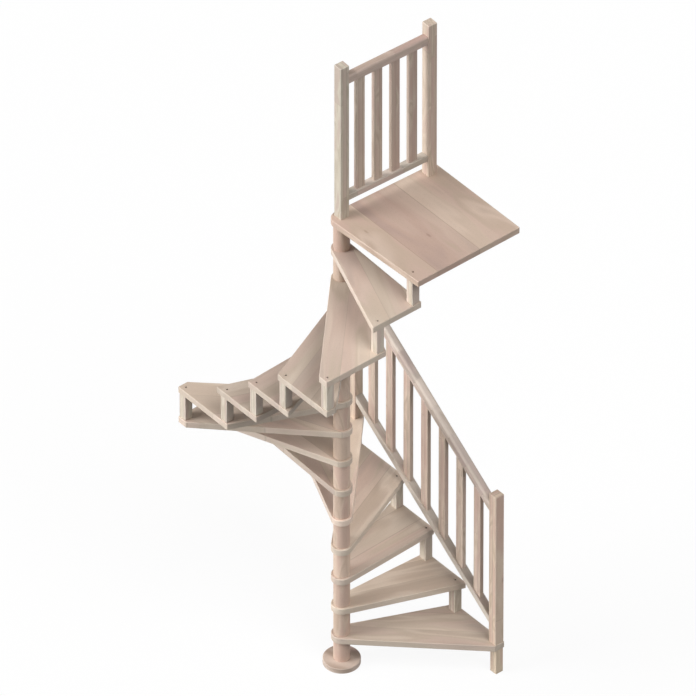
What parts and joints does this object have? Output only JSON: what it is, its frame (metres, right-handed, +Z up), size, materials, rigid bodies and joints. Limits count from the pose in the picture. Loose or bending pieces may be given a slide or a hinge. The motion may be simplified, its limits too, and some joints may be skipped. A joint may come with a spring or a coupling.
{
  "type": "square-plan spiral staircase",
  "caption": "Square-plan wooden spiral stair with tapered treads threaded on a centre column, corner spacer blocks, a landing board and slatted balustrades on one side and on the landing.",
  "frame": {"origin": "on the centre column's axis, on the underside of the base flange, at floor level", "axes": "+Z up along the column; +Y points from the column along the landing's guarded edge, +X along the landing's front edge; treads climb anticlockwise seen from above"},
  "size_m": [1.25, 1.25, 4],
  "materials": {
    "board_wood": "clear matt lacquer on pale laminated hardwood",
    "column_wood": "clear matt lacquer on pale laminated hardwood",
    "block_wood": "clear matt lacquer on pale laminated hardwood",
    "post_wood": "clear matt lacquer on pale laminated hardwood",
    "rail_wood": "clear matt lacquer on pale laminated hardwood",
    "baluster_wood": "clear matt lacquer on pale laminated hardwood"
  },
  "bodies": {
    "root": {"base_flange": "column_wood", "column_sleeves": "column_wood", "landing": "board_wood", "landing_balusters": "baluster_wood", "landing_bottom_rail": "rail_wood", "landing_handrail": "rail_wood", "landing_post_inner": "post_wood", "landing_post_outer": "post_wood", "lower_newel": "post_wood", "stair_balusters": "baluster_wood", "stair_bottom_rail": "rail_wood", "stair_handrail": "rail_wood", "start_leg": "block_wood", "tread_01": "board_wood", "tread_02": "board_wood", "tread_03": "board_wood", "tread_04": "board_wood", "tread_05": "board_wood", "tread_06": "board_wood", "tread_07": "board_wood", "tread_08": "board_wood", "tread_09": "board_wood", "tread_10": "board_wood", "tread_11": "board_wood", "tread_12": "board_wood", "tread_13": "board_wood", "tread_14": "board_wood", "tread_spacer_01": "block_wood", "tread_spacer_02": "block_wood", "tread_spacer_03": "block_wood", "tread_spacer_04": "block_wood", "tread_spacer_05": "block_wood", "tread_spacer_06": "block_wood", "tread_spacer_07": "block_wood", "tread_spacer_08": "block_wood", "tread_spacer_09": "block_wood", "tread_spacer_10": "block_wood", "tread_spacer_11": "block_wood", "tread_spacer_12": "block_wood", "tread_spacer_13": "block_wood", "tread_spacer_14": "block_wood", "upper_newel": "post_wood"}
  },
  "joints": []
}
